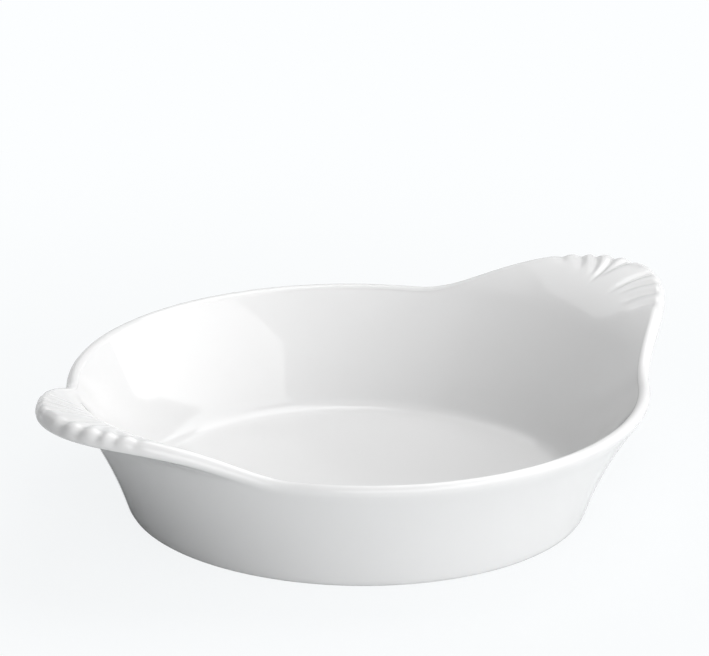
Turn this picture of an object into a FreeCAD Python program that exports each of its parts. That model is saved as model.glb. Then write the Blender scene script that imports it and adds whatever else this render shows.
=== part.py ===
import FreeCAD, Part
import Sketcher
import os
from math import atan2, cos, exp, hypot, pi, radians, sin

# Round egg dish, one piece of glazed porcelain with two fluted shell ears.
# Origin: centre of the foot on the table. Z is up, the ears point along +X and -X. Millimetres.

SIZES = [
    ("rim_diameter", 150.0, "outside of the plain lip"),
    ("rim_height", 32.8, "top of the plain lip above the table"),
    ("base_diameter", 118.5, "outside of the foot"),
    ("foot_lean", 18.0, "degrees that the wall leans out at the foot"),
    ("rim_lean", 37.0, "degrees that the wall leans out at the plain lip"),
    ("lip_thickness", 3.2, "wall at the plain lip, which is fully rounded"),
    ("root_thickness", 4.6, "wall where it meets the floor"),
    ("floor_thickness", 4.0, "floor at the foot ring"),
    ("corner_radius", 1.3, "outside corner of the foot"),
    ("floor_fillet", 4.0, "inside corner of floor and wall"),
    ("foot_ring_width", 4.4, "unglazed ring that the dish stands on"),
    ("foot_recess", 0.8, "underside above the table, inside the foot ring"),
    ("recess_taper", 45.0, "degrees that the recess narrows upwards"),
    ("ear_reach", 21.8, "ear edge beyond the plain lip"),
    ("ear_rise", 11.4, "ear edge above the plain lip"),
    ("ear_lean", 80.0, "degrees that the ear leans out at its edge"),
    ("ear_half_angle", 38.5, "from the ear's centre line to where the lip is plain"),
    ("ear_thickness", 4.7, "edge of the ear"),
    ("flute_depth", 1.3, "deepest groove below the ear's top"),
    ("flute_fan", 4.8, "degrees that the outer grooves turn towards the ear's root"),
]

# Rows and columns of the surface net: how finely it follows the shape, not a size of the dish.
COLUMNS = 192
CROWDING = 0.3
OUTER_ROWS = 8
INNER_ROWS = 15
CORNER_PULL = 1.2
EAR_EASE = 2.4
LIP_SHAPE = [(0.0, -1.04), (0.78, -0.78), (1.1, 0.0), (0.78, 0.78), (0.0, 1.04)]
EAR_SHAPE = [(-0.1, -1.0), (0.25, -0.94), (0.95, -0.3), (0.95, 0.65), (-0.4, 1.0)]
FLUTE_BITE = [(0.0, 0.0), (0.0, 0.0), (-0.4, 0.0), (-0.7, -0.6), (0.0, -1.0)]
# Flutes of one ear, from its anticlockwise side: degrees from the centre line at the edge and at the inner
# end, length and width in millimetres, and depth as a share of the deepest. The other ear has the same, turned.
FLUTES = [
    (12.5, 12.8, 2.5, 2.0, 0.5),
    (9.6, 10.0, 4.8, 2.0, 0.7),
    (7.9, 7.5, 8.5, 2.4, 0.9),
    (4.1, 4.8, 12.0, 2.2, 1.0),
    (0.7, 3.2, 8.5, 3.0, 1.0),
    (-5.8, -7.7, 12.0, 2.6, 1.1),
    (-9.2, -9.7, 8.0, 2.2, 0.9),
    (-12.0, -13.4, 7.0, 2.4, 0.9),
    (-14.8, -16.0, 4.0, 2.0, 0.6),
]


def fill_sheet(sheet):
    for row, (name, value, note) in enumerate(SIZES, start=1):
        sheet.set("A%d" % row, note)
        sheet.set("B%d" % row, str(value))
        sheet.setAlias("B%d" % row, name)


def tangent_corner(start, start_lean, end, end_lean):
    """Where the line that leaves start meets the line that reaches end; leans are from upright."""
    leave = (sin(start_lean), cos(start_lean))
    reach = (sin(end_lean), cos(end_lean))
    across = leave[0] * reach[1] - leave[1] * reach[0]
    run = ((end[0] - start[0]) * reach[1] - (end[1] - start[1]) * reach[0]) / across
    return (start[0] + run * leave[0], start[1] + run * leave[1])


class Dish:
    """The dish's section as a function of the angle round its axis."""

    def __init__(self, size):
        self.size = size
        foot_lean = radians(size["foot_lean"])
        rim_lean = radians(size["rim_lean"])
        ear_lean = radians(size["ear_lean"])
        foot = (size["base_diameter"] / 2 - size["root_thickness"] / 2 / cos(foot_lean), 0.0)
        rim = (size["rim_diameter"] / 2 - size["lip_thickness"] / 2,
               size["rim_height"] - size["lip_thickness"] / 2)
        tip = (rim[0] + size["ear_reach"], rim[1] + size["ear_rise"])
        self.wall = (foot, tangent_corner(foot, foot_lean, rim, rim_lean), rim)
        self.ear = (rim, tangent_corner(rim, rim_lean, tip, ear_lean), tip)
        self.wall_length = hypot(rim[0] - foot[0], rim[1] - foot[1])
        self.ear_length = hypot(tip[0] - rim[0], tip[1] - rim[1])

    def middle(self, place):
        """The wall's middle line and its direction: place 0 is the foot, 1 the plain lip, 2 the ear's edge."""
        start, corner, end = self.wall if place <= 1 else self.ear
        along = place if place <= 1 else place - 1
        first = [a + (b - a) * along for a, b in zip(start, corner)]
        second = [a + (b - a) * along for a, b in zip(corner, end)]
        point = [a + (b - a) * along for a, b in zip(first, second)]
        step = [b - a for a, b in zip(first, second)]
        return point, (step[0] / hypot(*step), step[1] / hypot(*step))

    def thickness(self, place):
        thin = self.size["lip_thickness"]
        if place <= 1:
            return self.size["root_thickness"] + (thin - self.size["root_thickness"]) * place
        return thin + (self.size["ear_thickness"] - thin) * (place - 1)

    def skin(self, place, side):
        """Point on the outside (side -1) or inside (side 1) of the wall, as radius and height."""
        (radius, height), (out, up) = self.middle(place)
        half = side * self.thickness(place) / 2
        return (radius - up * half, height + out * half)

    def place_at_height(self, height, side):
        low, high = 0.0, 1.0
        for _ in range(40):
            half_way = (low + high) / 2
            if self.skin(half_way, side)[1] < height:
                low = half_way
            else:
                high = half_way
        return low

    def ear_share(self, angle):
        """1 on the centre line of either ear, easing to 0 where the lip is plain."""
        from_ear = abs((angle + pi / 2) % pi - pi / 2)
        half = radians(self.size["ear_half_angle"])
        return (1 - (from_ear / half) ** 2) ** EAR_EASE if from_ear < half else 0.0

    def groove(self, angle, inboard):
        """Depth of the flutes at this angle and this distance in from the edge."""
        from_ear = (angle + pi / 2) % pi - pi / 2
        radius = self.ear[2][0]
        depth = 0.0
        for outer_place, inner_place, length, width, share in FLUTES:
            inner = min(1.0, inboard / length)
            place = radians(outer_place + (inner_place - outer_place) * inner)
            across = (from_ear - place) * radius / (width / 2)
            depth += self.size["flute_depth"] * share * exp(-across ** 2) * (1 - inner ** 3) ** 0.5
        return depth

    def fan(self, angle, share):
        """Turn of the net towards the ear's centre line, so that the flutes spread like a shell's."""
        from_ear = (angle + pi / 2) % pi - pi / 2
        reach = 1.2 * radians(self.size["ear_half_angle"])
        if abs(from_ear) >= reach:
            return 0.0
        phase = pi * from_ear / reach
        swing = sin(phase) * (1 + cos(phase)) / 1.3
        growth = (1 - exp(-share / 0.12)) / 0.76
        return -radians(self.size["flute_fan"]) * swing * growth

    def section(self, angle):
        """Control points from the foot, over the edge, to the floor: (radius, height, turn)."""
        size = self.size
        share = self.ear_share(angle)
        edge = 1 + share
        rows = []
        base = size["base_diameter"] / 2
        pull = CORNER_PULL * size["corner_radius"] * 1.75
        for inward in (0.75, 0.5, 0.0):
            rows.append((base - pull * inward, 0.0, 0.0))
        start = pull / self.wall_length
        stop = edge - 0.09
        for row in range(OUTER_ROWS):
            fraction = row / (OUTER_ROWS - 1)
            rows.append(self.skin(start + (stop - start) * (1 - (1 - fraction) ** 1.3), -1) + (0.0,))
        (radius, height), (out, up) = self.middle(edge)
        half = self.thickness(edge) / 2
        bite = self.groove(angle, 0.0)
        for plain, shell, cut in zip(LIP_SHAPE, EAR_SHAPE, FLUTE_BITE):
            along = half * (plain[0] + (shell[0] - plain[0]) * share) + cut[0] * bite
            above = half * (plain[1] + (shell[1] - plain[1]) * share) + cut[1] * bite
            rows.append((radius + out * along - up * above, height + up * along + out * above, 0.0))
        floor = size["floor_thickness"]
        corner = self.place_at_height(floor, 1)
        fillet_pull = 1.2 * size["floor_fillet"]
        last = corner + fillet_pull / self.wall_length
        for row in range(1, INNER_ROWS + 1):
            fraction = (row / INNER_ROWS) ** 1.8
            place = edge - (edge - last) * fraction
            inboard = fraction * (self.wall_length + share * self.ear_length)
            (radius, height), (out, up) = self.middle(place)
            half = self.thickness(place) / 2 - self.groove(angle, inboard)
            rows.append((radius - up * half, height + out * half, self.fan(angle, fraction)))
        turn = self.fan(angle, 1.0)
        corner_radius = self.skin(corner, 1)[0]
        for inward in (0.0, fillet_pull, fillet_pull * 2):
            rows.append((corner_radius - inward, floor, turn))
        return rows


def column_angle(column):
    """Angle of a column of the net; the columns crowd towards the ears, where the flutes are."""
    even = 2 * pi * column / COLUMNS
    return atan2(CROWDING * sin(even), cos(even))


def skin_surface(dish):
    columns = []
    for column in range(COLUMNS):
        angle = column_angle(column)
        gap = (column_angle(column + 1) - column_angle(column - 1)) % (2 * pi) / 2
        swell = 3 / (2 + cos(gap))
        poles = []
        for radius, height, turn in dish.section(angle):
            around = angle + turn
            reach = radius * swell
            poles.append(FreeCAD.Vector(reach * cos(around), reach * sin(around), height))
        columns.append(poles)
    rows = len(columns[0])
    round_knots = list(range(COLUMNS + 1))
    round_mults = [1] * (COLUMNS + 1)
    row_knots = list(range(rows - 2))
    row_mults = [4] + [1] * (rows - 4) + [4]
    surface = Part.BSplineSurface()
    surface.buildFromPolesMultsKnots(columns, round_mults, row_mults,
                                     round_knots, row_knots, True, False, 3, 3)
    return surface


def close_solid(surface):
    """Closes the skin with a flat disc at each of its two round ends."""
    skin = surface.toShape()
    rings = [edge for edge in skin.Edges if edge.isClosed()]
    discs = [Part.Face(Part.Wire([ring])) for ring in rings]
    sewn = Part.makeCompound([skin] + discs)
    sewn.sewShape()
    return Part.Solid(sewn.Shells[0])


def add_blank(doc, size):
    """The dish without its foot recess."""
    blank = doc.addObject("Part::Feature", "blank")
    blank.Shape = close_solid(skin_surface(Dish(size)))
    return blank


def add_body(doc, blank):
    body = doc.addObject("PartDesign::Body", "egg_dish")
    body.Label = "egg_dish"
    body.BaseFeature = blank
    doc.recompute()
    return body


def cut_foot_recess(doc, body):
    """Shallow recess in the underside, which leaves the foot ring standing."""
    table = [plane for plane in body.Origin.OriginFeatures if plane.Role == "XY_Plane"][0]
    outline = body.newObject("Sketcher::SketchObject", "recess_outline")
    outline.AttachmentSupport = [(table, "")]
    outline.MapMode = "FlatFace"
    outline.addGeometry(Part.Circle(FreeCAD.Vector(), FreeCAD.Vector(0, 0, 1), 50), False)
    outline.addConstraint(Sketcher.Constraint("Coincident", 0, 3, -1, 1))
    width = outline.addConstraint(Sketcher.Constraint("Diameter", 0, 100))
    outline.setExpression("Constraints[%d]" % width, "sizes.base_diameter - 2 * sizes.foot_ring_width")
    doc.recompute()
    recess = body.newObject("PartDesign::Pocket", "foot_recess")
    recess.Profile = outline
    recess.Reversed = True
    recess.setExpression("Length", "sizes.foot_recess")
    recess.setExpression("TaperAngle", "-sizes.recess_taper")
    body.Tip = recess
    doc.recompute()


def check_all(doc, body, blank):
    for thing in doc.Objects:
        if "Invalid" in thing.State or "Error" in thing.State:
            raise RuntimeError("%s did not compute" % thing.Name)
    shape = body.Shape
    if shape.isNull() or not shape.isValid() or len(shape.Solids) != 1:
        raise RuntimeError("the dish is not one sound solid")
    if shape.Volume >= blank.Shape.Volume:
        raise RuntimeError("the foot recess took nothing away")


doc = FreeCAD.newDocument("egg_dish")
sheet = doc.addObject("Spreadsheet::Sheet", "sizes")
fill_sheet(sheet)
doc.recompute()
size = {name: float(getattr(sheet, name)) for name, value, note in SIZES}

blank = add_blank(doc, size)
body = add_body(doc, blank)
cut_foot_recess(doc, body)
check_all(doc, body, blank)

os.makedirs("parts", exist_ok=True)
body.Shape.exportStep("parts/%s.step" % body.Label)
print("volume in mm3: %.0f, the recess %.0f" % (body.Shape.Volume, blank.Shape.Volume - body.Shape.Volume))
print(body.Shape.BoundBox)
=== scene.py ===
from math import atan2, cos, exp, hypot, pi, radians, sin

import bmesh
import bpy
from bpy.props import FloatProperty, FloatVectorProperty, PointerProperty
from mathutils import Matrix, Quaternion, Vector


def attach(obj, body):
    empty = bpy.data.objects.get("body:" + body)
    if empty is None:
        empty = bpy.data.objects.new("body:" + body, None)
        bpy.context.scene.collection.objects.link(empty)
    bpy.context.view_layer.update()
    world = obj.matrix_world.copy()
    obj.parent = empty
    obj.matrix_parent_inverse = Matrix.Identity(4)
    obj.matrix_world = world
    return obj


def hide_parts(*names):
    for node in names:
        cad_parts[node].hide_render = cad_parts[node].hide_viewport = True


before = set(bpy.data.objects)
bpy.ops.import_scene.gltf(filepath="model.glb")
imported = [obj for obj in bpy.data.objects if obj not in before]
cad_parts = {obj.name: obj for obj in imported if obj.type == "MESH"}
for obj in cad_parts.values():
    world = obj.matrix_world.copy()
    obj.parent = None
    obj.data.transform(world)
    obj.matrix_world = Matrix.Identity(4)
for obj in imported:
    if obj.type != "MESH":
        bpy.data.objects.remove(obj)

bl_info = {
    "name": "Porcelain egg dish",
    "version": (1, 0, 0),
    "blender": (4, 5, 0),
    "location": "3D View > Sidebar > Egg dish",
    "description": "Round porcelain egg dish with two fluted shell ears, and a studio to look at it in",
    "category": "Add Mesh",
}

MM = 0.001


def length(name, millimetres, description):
    return FloatProperty(name=name, description=description, default=millimetres * MM, min=0.0,
                         precision=5, unit="LENGTH", subtype="DISTANCE")


def turn(name, degrees, description):
    return FloatProperty(name=name, description=description, default=radians(degrees), subtype="ANGLE")


def colour(name, value, description):
    return FloatVectorProperty(name=name, description=description, default=value, size=3,
                               min=0.0, max=1.0, subtype="COLOR")


class EggDishBowl(bpy.types.PropertyGroup):
    """Sizes of the round bowl."""
    rim_diameter: length("Rim diameter", 150.0, "Outside of the plain lip")
    rim_height: length("Rim height", 32.8, "Top of the plain lip above the table")
    base_diameter: length("Base diameter", 118.5, "Outside of the foot")
    foot_lean: turn("Foot lean", 18.0, "How far the wall leans out at the foot")
    rim_lean: turn("Rim lean", 37.0, "How far the wall leans out at the plain lip")
    lip_thickness: length("Lip thickness", 3.2, "Wall at the plain lip, which is fully rounded")
    root_thickness: length("Root thickness", 4.6, "Wall where it meets the floor")
    floor_thickness: length("Floor thickness", 4.0, "Floor at the foot ring")
    corner_radius: length("Corner radius", 1.3, "Outside corner of the foot")
    floor_fillet: length("Floor fillet", 4.0, "Inside corner of floor and wall")
    foot_ring_width: length("Foot ring width", 4.4, "Unglazed ring that the dish stands on")
    foot_recess: length("Foot recess", 0.8, "Underside above the table, inside the foot ring")


class EggDishEar(bpy.types.PropertyGroup):
    """Sizes of the two shell ears and their flutes."""
    reach: length("Reach", 21.8, "Ear edge beyond the plain lip")
    rise: length("Rise", 11.4, "Ear edge above the plain lip")
    lean: turn("Lean", 80.0, "How far the ear leans out at its edge")
    half_angle: turn("Half angle", 38.5, "From the ear's centre line to where the lip is plain")
    thickness: length("Thickness", 4.7, "Edge of the ear")
    depth: length("Flute depth", 1.3, "Deepest groove below the ear's top")
    fan: turn("Flute fan", 4.8, "How far the outer grooves turn towards the ear's root")


class EggDishGlaze(bpy.types.PropertyGroup):
    """Look of the glazed porcelain."""
    glaze: colour("Glaze", (0.80, 0.80, 0.80), "White glaze over the body")
    clay: colour("Clay", (0.74, 0.72, 0.68), "Bare fired body on the foot ring")
    roughness: FloatProperty(name="Roughness", description="Of the glaze", default=0.07, min=0.0, max=1.0)
    waviness: length("Waviness", 0.06, "Unevenness of the glaze")


class EggDishStudio(bpy.types.PropertyGroup):
    """Camera, lamps and floor."""
    azimuth: turn("Azimuth", -39.91, "Camera round the dish, 0 looks along +Y")
    elevation: turn("Elevation", 21.78, "Camera above the horizon")
    distance: length("Distance", 1500.0, "Camera from the middle of the foot")
    focal: FloatProperty(name="Focal length", description="Of the lens, millimetres", default=294.0)
    aim_height: length("Aim height", 47.11, "Height that the camera looks at")
    aim_side: FloatProperty(name="Aim side", description="Sideways shift of the point looked at",
                            default=-1.19 * MM, unit="LENGTH", precision=5)
    roll: turn("Roll", 0.72, "Of the camera")
    paper: colour("Paper", (0.975, 0.991, 1.0), "Floor and background")


# The net. Its columns crowd towards the ears, where the flutes are, and its rows towards the edge.
COLUMNS = 288
COLUMN_CROWDING = 0.3
OUTER_ROWS = 8
OUTER_CROWDING = 1.3
OUTER_STOP = 0.09       # the last outer row's place before the edge
INNER_ROWS = 16
INNER_CROWDING = 1.8
CORNER_PULL = 2.1       # net points from a sharp corner, in corner radii
FILLET_PULL = 1.2       # the same for the floor's fillet
EAR_EASE = 2.4          # how softly the ears leave the plain lip
FAN_REACH = 1.2         # where the flutes' turn ends, in half angles of the ear
FAN_PEAK = 1.3          # largest value of the turn's wave, sin p * (1 + cos p)
FAN_GROWTH = 0.12       # share of the way in over which the turn grows,
FAN_FULL = 0.76         # and how far it has grown at the flutes' inner ends

# Edge rows from the outer to the inner side: how far each lies along the wall and across it, in halves of
# the wall's thickness, and how much of a flute's notch moves it.
LIP_SHAPE = [(0.0, -1.04), (0.78, -0.78), (1.1, 0.0), (0.88, 0.85), (-0.1, 1.12)]
EAR_SHAPE = [(0.3, -1.0), (0.7, -0.97), (0.86, -0.4), (0.86, 0.53), (0.1, 0.96)]
FLUTE_BITE = [(0.0, 0.0), (0.0, 0.0), (-0.4, 0.0), (-0.7, -0.6), (0.0, -1.0)]

# Flutes of one ear, from its anticlockwise side: degrees from the centre line at the edge and at the inner
# end, length and width in millimetres, depth as a share of the deepest, and how far the flute notches the
# edge. The other ear has the same, turned.
FLUTES = [
    (12.5, 12.8, 2.5, 2.2, 0.35, 1.6),
    (9.6, 10.0, 4.8, 2.4, 0.5, 1.6),
    (7.2, 6.8, 8.0, 2.4, 0.45, 1.8),
    (4.1, 4.8, 12.0, 2.8, 0.55, 1.6),
    (0.7, 3.2, 8.5, 3.2, 0.55, 1.6),
    (-5.4, -7.5, 12.0, 3.2, 0.6, 0.6),
    (-8.6, -9.9, 9.0, 2.6, 0.45, 0.6),
    (-11.6, -13.4, 9.0, 3.0, 0.55, 0.6),
    (-14.8, -16.2, 5.5, 2.6, 0.45, 0.6),
]

BARE_FROM = 0.25 * MM   # height at which the glaze starts to give way to bare clay,
BARE_BELOW = 0.1 * MM   # and below which all is bare
CLOUD_SHADE = 0.985     # the glaze's darker clouds

FLOOR_RADIUS = 3.0
FLOOR_GLOW_NEAR = 0.88  # how far the camera sees the floor as plain white, by the dish;
FLOOR_FADE = (0.10, 0.30)   # from the second distance on it is all white
WORLD_FILL = 0.03
LAMP_AIM = 20 * MM      # height that the lamps face

# Softboxes: name, degrees from the camera to its right, elevation, distance, width and height in metres,
# watts, and whether it stands upright instead of facing the dish.
LAMPS = [
    ("key", 85, 32.3, 1.065, 1.8, 1.02, 9.6, True),
    ("low_front", 20, 12, 1.0, 1.0, 0.5, 4.1, False),
    ("front", 0, 38, 1.0, 1.6, 1.2, 2.1, False),
    ("back_right", 135, 64, 1.0, 0.7, 0.7, 4.1, False),
    ("back_left", 208, 48, 1.0, 0.8, 0.38, 1.0, False),
    ("top", 0, 90, 1.0, 1.2, 1.2, 2.1, False),
]


def tangent_corner(start, start_lean, end, end_lean):
    """Where the line that leaves start meets the line that reaches end; leans are from upright."""
    leave = (sin(start_lean), cos(start_lean))
    reach = (sin(end_lean), cos(end_lean))
    across = leave[0] * reach[1] - leave[1] * reach[0]
    run = ((end[0] - start[0]) * reach[1] - (end[1] - start[1]) * reach[0]) / across
    return (start[0] + run * leave[0], start[1] + run * leave[1])


class Section:
    """The dish's section as a function of the angle round its axis."""

    def __init__(self, bowl, ear):
        self.bowl = bowl
        self.ear = ear
        foot = (bowl.base_diameter / 2 - bowl.root_thickness / 2 / cos(bowl.foot_lean), 0.0)
        rim = (bowl.rim_diameter / 2 - bowl.lip_thickness / 2, bowl.rim_height - bowl.lip_thickness / 2)
        tip = (rim[0] + ear.reach, rim[1] + ear.rise)
        self.wall = (foot, tangent_corner(foot, bowl.foot_lean, rim, bowl.rim_lean), rim)
        self.flare = (rim, tangent_corner(rim, bowl.rim_lean, tip, ear.lean), tip)
        self.wall_length = hypot(rim[0] - foot[0], rim[1] - foot[1])
        self.flare_length = hypot(tip[0] - rim[0], tip[1] - rim[1])

    def middle(self, place):
        """The wall's middle line and its direction; place 0 is the foot, 1 the lip, 2 the ear's edge."""
        start, corner, end = self.wall if place <= 1 else self.flare
        along = place if place <= 1 else place - 1
        first = [a + (b - a) * along for a, b in zip(start, corner)]
        second = [a + (b - a) * along for a, b in zip(corner, end)]
        point = [a + (b - a) * along for a, b in zip(first, second)]
        step = [b - a for a, b in zip(first, second)]
        return point, (step[0] / hypot(*step), step[1] / hypot(*step))

    def thickness(self, place):
        """Of the wall: it thins from the root to the lip, and thickens again to the ear's edge."""
        thin = self.bowl.lip_thickness
        if place <= 1:
            return self.bowl.root_thickness + (thin - self.bowl.root_thickness) * place
        return thin + (self.ear.thickness - thin) * (place - 1)

    def skin(self, place, side):
        """Point on the outside (side -1) or inside (side 1) of the wall, as radius and height."""
        (radius, height), (out, up) = self.middle(place)
        half = side * self.thickness(place) / 2
        return (radius - up * half, height + out * half)

    def place_at_height(self, height, side):
        """The wall's place where one of its sides reaches this height."""
        low, high = 0.0, 1.0
        for _ in range(40):
            half_way = (low + high) / 2
            if self.skin(half_way, side)[1] < height:
                low = half_way
            else:
                high = half_way
        return low

    def ear_share(self, angle):
        """1 on the centre line of either ear, easing to 0 where the lip is plain."""
        from_ear = abs((angle + pi / 2) % pi - pi / 2)
        half = self.ear.half_angle
        return (1 - (from_ear / half) ** 2) ** EAR_EASE if from_ear < half else 0.0

    def groove(self, angle, inboard, at_edge=False):
        """Depth of the flutes at this angle and this distance in from the edge, or of their notches in it."""
        from_ear = (angle + pi / 2) % pi - pi / 2
        radius = self.flare[2][0]
        depth = 0.0
        for outer_place, inner_place, run, width, share, notch in FLUTES:
            inner = min(1.0, inboard / (run * MM))
            place = radians(outer_place + (inner_place - outer_place) * inner)
            across = (from_ear - place) * radius / (width * MM / 2)
            share *= notch if at_edge else 1.0
            depth += self.ear.depth * share * exp(-across ** 2) * (1 - inner ** 3) ** 0.5
        return depth

    def fan(self, angle, share):
        """Turn of the net towards the ear's centre line, so that the flutes spread like a shell's."""
        from_ear = (angle + pi / 2) % pi - pi / 2
        reach = FAN_REACH * self.ear.half_angle
        if abs(from_ear) >= reach:
            return 0.0
        phase = pi * from_ear / reach
        swing = sin(phase) * (1 + cos(phase)) / FAN_PEAK
        growth = (1 - exp(-share / FAN_GROWTH)) / FAN_FULL
        return -self.ear.fan * swing * growth

    def rows(self, angle):
        """Net points from under the middle of the floor, round the edge, to its upper side."""
        bowl = self.bowl
        share = self.ear_share(angle)
        edge = 1 + share
        base = bowl.base_diameter / 2
        ring = base - bowl.foot_ring_width
        pull = CORNER_PULL * bowl.corner_radius
        ceiling = bowl.foot_recess

        rows = []       # the recess, the foot ring and its outside corner
        for inward in (ring, ring * 0.5, ceiling * 4, ceiling * 1.8, ceiling * 1.2):
            rows.append((ring - inward, ceiling, 0.0))
        rows.append((ring - ceiling * 0.2, ceiling * 0.2, 0.0))
        rows.append((ring + ceiling * 0.1, 0.0, 0.0))
        for inward in (1.1, 0.5, 0.0):
            rows.append((base - pull * inward, 0.0, 0.0))

        start = pull / self.wall_length
        stop = edge - OUTER_STOP
        for row in range(OUTER_ROWS):
            fraction = row / (OUTER_ROWS - 1)
            place = start + (stop - start) * (1 - (1 - fraction) ** OUTER_CROWDING)
            rows.append(self.skin(place, -1) + (0.0,))

        (radius, height), (out, up) = self.middle(edge)
        half = self.thickness(edge) / 2
        bite = self.groove(angle, 0.0, at_edge=True)
        for plain, shell, cut in zip(LIP_SHAPE, EAR_SHAPE, FLUTE_BITE):
            along = half * (plain[0] + (shell[0] - plain[0]) * share) + cut[0] * bite
            above = half * (plain[1] + (shell[1] - plain[1]) * share) + cut[1] * bite
            rows.append((radius + out * along - up * above, height + up * along + out * above, 0.0))

        floor = bowl.floor_thickness
        corner = self.place_at_height(floor, 1)
        fillet_pull = FILLET_PULL * bowl.floor_fillet
        last = corner + fillet_pull / self.wall_length
        for row in range(1, INNER_ROWS + 1):
            fraction = (row / INNER_ROWS) ** INNER_CROWDING
            place = edge - (edge - last) * fraction
            inboard = fraction * (self.wall_length + share * self.flare_length)
            (radius, height), (out, up) = self.middle(place)
            half = self.thickness(place) / 2 - self.groove(angle, inboard)
            rows.append((radius - up * half, height + out * half, self.fan(angle, fraction)))

        spin = self.fan(angle, 1.0)
        corner_radius = self.skin(corner, 1)[0]
        for inward in (0.0, fillet_pull, fillet_pull * 2):
            rows.append((corner_radius - inward, floor, spin))
        rows.append(((corner_radius - fillet_pull * 2) * 0.5, floor, spin))
        rows.append((0.0, floor, 0.0))
        return rows


def column_angle(column):
    """Angle of a column of the net round the axis."""
    even = 2 * pi * column / COLUMNS
    return atan2(COLUMN_CROWDING * sin(even), cos(even))


def shape_dish(bowl, ear):
    """Spins a line of points round the axis, then takes every point to its place in the section there.

    A closed spline runs a little inside its net, so the net is swelled by as much.
    """
    section = Section(bowl, ear)
    mesh = bmesh.new()
    row_of = mesh.verts.layers.int.new("row")
    profile = section.rows(pi / 2)
    points = []
    for number, (radius, height, spin) in enumerate(profile):
        point = mesh.verts.new((radius, 0.0, height))
        point[row_of] = number
        points.append(point)
    edges = [mesh.edges.new(pair) for pair in zip(points, points[1:])]
    bmesh.ops.spin(mesh, geom=points + edges, cent=(0, 0, 0), axis=(0, 0, 1), angle=2 * pi,
                   steps=COLUMNS, use_merge=True)
    placed = {}
    for point in mesh.verts:
        if hypot(point.co.x, point.co.y) < 1e-9:
            continue
        column = round(atan2(point.co.y, point.co.x) / (2 * pi / COLUMNS)) % COLUMNS
        if column not in placed:
            angle = column_angle(column)
            gap = (column_angle(column + 1) - column_angle(column - 1)) % (2 * pi) / 2
            placed[column] = (angle, 3 / (2 + cos(gap)), section.rows(angle))
        angle, swell, rows = placed[column]
        radius, height, spin = rows[point[row_of]]
        around = angle + spin
        point.co = (radius * swell * cos(around), radius * swell * sin(around), height)
    bmesh.ops.remove_doubles(mesh, verts=mesh.verts, dist=1e-6)
    bmesh.ops.recalc_face_normals(mesh, faces=mesh.faces)
    for face in mesh.faces:
        face.smooth = True
    return mesh


def add_object(name, mesh):
    """Puts a finished bmesh into the scene."""
    data = bpy.data.meshes.new(name)
    mesh.to_mesh(data)
    mesh.free()
    thing = bpy.data.objects.new(name, data)
    bpy.context.scene.collection.objects.link(thing)
    return thing


def node(tree, kind, **inputs):
    """A new node with some of its inputs set; an underscore stands for a space."""
    made = tree.nodes.new(kind)
    for name, value in inputs.items():
        made.inputs[name.replace("_", " ")].default_value = value
    return made


def glazed_porcelain(look):
    """White glaze, faintly clouded and not quite even; the foot ring is bare clay."""
    material = bpy.data.materials.new("glazed_porcelain")
    material.use_nodes = True
    tree = material.node_tree
    tree.nodes.clear()
    out = tree.nodes.new("ShaderNodeOutputMaterial")
    shader = node(tree, "ShaderNodeBsdfPrincipled", IOR=1.5)
    tree.links.new(shader.outputs["BSDF"], out.inputs["Surface"])
    place = tree.nodes.new("ShaderNodeTexCoord")
    split = tree.nodes.new("ShaderNodeSeparateXYZ")
    tree.links.new(place.outputs["Object"], split.inputs["Vector"])

    bare = node(tree, "ShaderNodeMapRange", From_Min=BARE_FROM, From_Max=BARE_BELOW)
    tree.links.new(split.outputs["Z"], bare.inputs["Value"])

    clouds = node(tree, "ShaderNodeTexNoise", Scale=18.0, Detail=2.0, Roughness=0.5)
    tree.links.new(place.outputs["Object"], clouds.inputs["Vector"])
    tint = node(tree, "ShaderNodeMix")
    tint.data_type = "RGBA"
    tint.inputs[6].default_value = (*look.glaze, 1.0)
    tint.inputs[7].default_value = (*[value * CLOUD_SHADE for value in look.glaze], 1.0)
    tree.links.new(clouds.outputs["Fac"], tint.inputs[0])
    body = node(tree, "ShaderNodeMix")
    body.data_type = "RGBA"
    body.inputs[7].default_value = (*look.clay, 1.0)
    tree.links.new(tint.outputs[2], body.inputs[6])
    tree.links.new(bare.outputs["Result"], body.inputs[0])
    tree.links.new(body.outputs[2], shader.inputs["Base Color"])

    rough = node(tree, "ShaderNodeMapRange", To_Min=look.roughness, To_Max=0.7)
    tree.links.new(bare.outputs["Result"], rough.inputs["Value"])
    tree.links.new(rough.outputs["Result"], shader.inputs["Roughness"])

    waves = node(tree, "ShaderNodeTexNoise", Scale=42.0, Detail=1.0, Roughness=0.4)
    tree.links.new(place.outputs["Object"], waves.inputs["Vector"])
    bump = node(tree, "ShaderNodeBump", Strength=1.0, Distance=look.waviness)
    tree.links.new(waves.outputs["Fac"], bump.inputs["Height"])
    tree.links.new(bump.outputs["Normal"], shader.inputs["Normal"])
    return material


def seen_directly(tree):
    """1 for what the camera sees, also in reflections and through glass; 0 for light that falls on things."""
    path = tree.nodes.new("ShaderNodeLightPath")
    total = None
    for ray in ("Is Camera Ray", "Is Glossy Ray", "Is Transmission Ray"):
        if total is None:
            total = path.outputs[ray]
            continue
        either = tree.nodes.new("ShaderNodeMath")
        either.operation = "MAXIMUM"
        tree.links.new(total, either.inputs[0])
        tree.links.new(path.outputs[ray], either.inputs[1])
        total = either.outputs[0]
    return total


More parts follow.
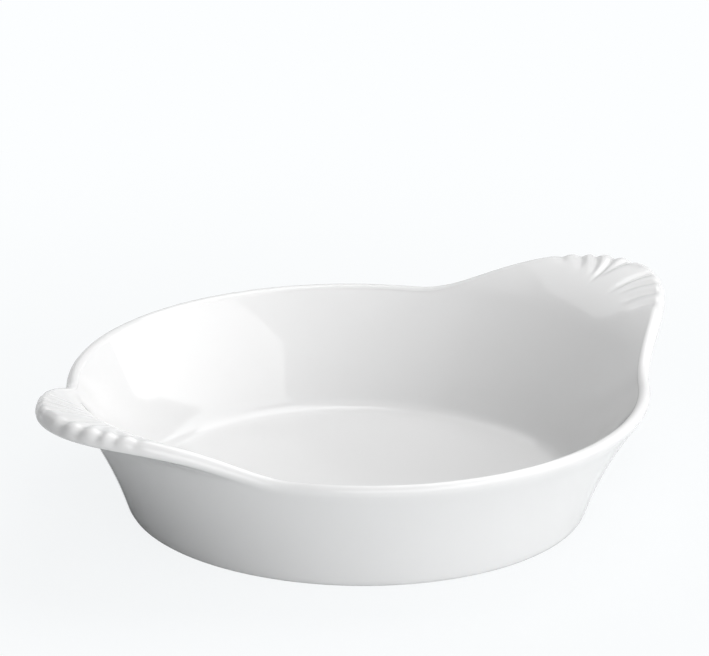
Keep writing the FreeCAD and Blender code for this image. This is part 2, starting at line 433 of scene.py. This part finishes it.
def paper_material(look):
    """Paper that looks white as far as the eye goes, and keeps the dish's shadow near it."""
    material = bpy.data.materials.new("paper")
    material.use_nodes = True
    tree = material.node_tree
    tree.nodes.clear()
    out = tree.nodes.new("ShaderNodeOutputMaterial")
    lit = node(tree, "ShaderNodeBsdfDiffuse")
    lit.inputs["Color"].default_value = (*[0.85 * value for value in look.paper], 1.0)
    glow = node(tree, "ShaderNodeEmission", Strength=1.0)
    glow.inputs["Color"].default_value = (*look.paper, 1.0)
    part_lit = tree.nodes.new("ShaderNodeMixShader")
    place = tree.nodes.new("ShaderNodeTexCoord")
    distance = tree.nodes.new("ShaderNodeVectorMath")
    distance.operation = "LENGTH"
    tree.links.new(place.outputs["Object"], distance.inputs[0])
    path = tree.nodes.new("ShaderNodeLightPath")
    near = tree.nodes.new("ShaderNodeMath")
    near.operation = "MULTIPLY"
    near.inputs[1].default_value = FLOOR_GLOW_NEAR
    tree.links.new(path.outputs["Is Camera Ray"], near.inputs[0])
    far = node(tree, "ShaderNodeMapRange", From_Min=FLOOR_FADE[0], From_Max=FLOOR_FADE[1], To_Max=1.0)
    far.interpolation_type = "SMOOTHSTEP"
    tree.links.new(distance.outputs["Value"], far.inputs["Value"])
    tree.links.new(near.outputs["Value"], far.inputs["To Min"])
    tree.links.new(far.outputs["Result"], part_lit.inputs[0])
    tree.links.new(lit.outputs["BSDF"], part_lit.inputs[1])
    tree.links.new(glow.outputs["Emission"], part_lit.inputs[2])
    seen = tree.nodes.new("ShaderNodeMixShader")
    tree.links.new(seen_directly(tree), seen.inputs[0])
    tree.links.new(lit.outputs["BSDF"], seen.inputs[1])
    tree.links.new(part_lit.outputs["Shader"], seen.inputs[2])
    tree.links.new(seen.outputs["Shader"], out.inputs["Surface"])
    return material


def add_lamp(name, azimuth, elevation, distance, width, height, power, upright):
    """A softbox round the dish; azimuth is measured from the camera, to its right."""
    lamp = bpy.data.lights.new(name, "AREA")
    lamp.shape = "RECTANGLE"
    lamp.size = width
    lamp.size_y = height
    lamp.energy = power
    thing = bpy.data.objects.new(name, lamp)
    bpy.context.scene.collection.objects.link(thing)
    around = bpy.context.scene.egg_dish_studio.azimuth + radians(azimuth)
    rise = radians(elevation)
    back = Vector((sin(around) * cos(rise), -cos(around) * cos(rise), sin(rise)))
    thing.location = back * distance + Vector((0, 0, LAMP_AIM))
    facing = Vector((back.x, back.y, 0.0)) if upright else back
    thing.rotation_euler = facing.to_track_quat("Z", "Y").to_euler()


class EGGDISH_OT_add_dish(bpy.types.Operator):
    """Adds the egg dish at the origin"""
    bl_idname = "mesh.egg_dish_add"
    bl_label = "Add egg dish"
    bl_options = {"REGISTER", "UNDO"}

    def execute(self, context):
        scene = context.scene
        dish = add_object("egg_dish_glazed", shape_dish(scene.egg_dish_bowl, scene.egg_dish_ear))
        dish.data.materials.append(glazed_porcelain(scene.egg_dish_glaze))
        smooth = dish.modifiers.new("Subdivision", "SUBSURF")
        smooth.levels = 1
        smooth.render_levels = 1
        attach(dish, "root")
        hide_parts("egg_dish")
        return {"FINISHED"}


class EGGDISH_OT_add_studio(bpy.types.Operator):
    """Adds the floor, the lamps, the world and the camera"""
    bl_idname = "scene.egg_dish_studio_add"
    bl_label = "Add studio"
    bl_options = {"REGISTER", "UNDO"}

    def execute(self, context):
        scene = context.scene
        look = scene.egg_dish_studio
        self.add_floor(look)
        self.add_camera(scene, look)
        self.add_world(scene, look)
        for lamp in LAMPS:
            add_lamp(*lamp)
        scene.view_settings.view_transform = "Standard"
        return {"FINISHED"}

    def add_floor(self, look):
        mesh = bmesh.new()
        bmesh.ops.create_circle(mesh, cap_ends=True, segments=96, radius=FLOOR_RADIUS)
        floor = add_object("floor", mesh)
        floor.data.materials.append(paper_material(look))

    def add_camera(self, scene, look):
        data = bpy.data.cameras.new("camera")
        data.lens = look.focal
        data.sensor_width = 36.0
        data.clip_start = 0.05
        data.clip_end = 50.0
        camera = bpy.data.objects.new("camera", data)
        scene.collection.objects.link(camera)
        around, rise = look.azimuth, look.elevation
        back = Vector((sin(around) * cos(rise), -cos(around) * cos(rise), sin(rise)))
        side = Vector((cos(around), sin(around), 0.0))
        camera.location = back * look.distance
        target = Vector((0, 0, look.aim_height)) + side * look.aim_side
        ahead = (target - camera.location).normalized()
        turned = ahead.to_track_quat("-Z", "Y") @ Quaternion((0, 0, 1), look.roll)
        camera.rotation_mode = "QUATERNION"
        camera.rotation_quaternion = turned
        scene.camera = camera

    def add_world(self, scene, look):
        world = bpy.data.worlds.new("studio")
        scene.world = world
        world.use_nodes = True
        tree = world.node_tree
        tree.nodes.clear()
        out = tree.nodes.new("ShaderNodeOutputWorld")
        seen = node(tree, "ShaderNodeBackground", Strength=1.0)
        seen.inputs["Color"].default_value = (*look.paper, 1.0)
        lit = node(tree, "ShaderNodeBackground", Strength=WORLD_FILL)
        lit.inputs["Color"].default_value = (1.0, 1.0, 1.0, 1.0)
        mix = tree.nodes.new("ShaderNodeMixShader")
        tree.links.new(seen_directly(tree), mix.inputs[0])
        tree.links.new(lit.outputs["Background"], mix.inputs[1])
        tree.links.new(seen.outputs["Background"], mix.inputs[2])
        tree.links.new(mix.outputs["Shader"], out.inputs["Surface"])


class EGGDISH_PT_panel(bpy.types.Panel):
    """Sizes and colours of the egg dish"""
    bl_idname = "EGGDISH_PT_panel"
    bl_label = "Egg dish"
    bl_space_type = "VIEW_3D"
    bl_region_type = "UI"
    bl_category = "Egg dish"

    def draw(self, context):
        column = self.layout.column()
        for group in (context.scene.egg_dish_bowl, context.scene.egg_dish_ear,
                      context.scene.egg_dish_glaze, context.scene.egg_dish_studio):
            for name in group.__annotations__:
                column.prop(group, name)
        column.operator(EGGDISH_OT_add_dish.bl_idname)
        column.operator(EGGDISH_OT_add_studio.bl_idname)


CLASSES = (EggDishBowl, EggDishEar, EggDishGlaze, EggDishStudio,
           EGGDISH_OT_add_dish, EGGDISH_OT_add_studio, EGGDISH_PT_panel)
GROUPS = {"egg_dish_bowl": EggDishBowl, "egg_dish_ear": EggDishEar,
          "egg_dish_glaze": EggDishGlaze, "egg_dish_studio": EggDishStudio}


def register():
    for item in CLASSES:
        bpy.utils.register_class(item)
    for name, group in GROUPS.items():
        setattr(bpy.types.Scene, name, PointerProperty(type=group))


def unregister():
    for name in GROUPS:
        delattr(bpy.types.Scene, name)
    for item in reversed(CLASSES):
        bpy.utils.unregister_class(item)


def main():
    register()
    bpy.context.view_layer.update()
    bpy.ops.mesh.egg_dish_add()
    bpy.ops.scene.egg_dish_studio_add()


if __name__ == "__main__":
    main()
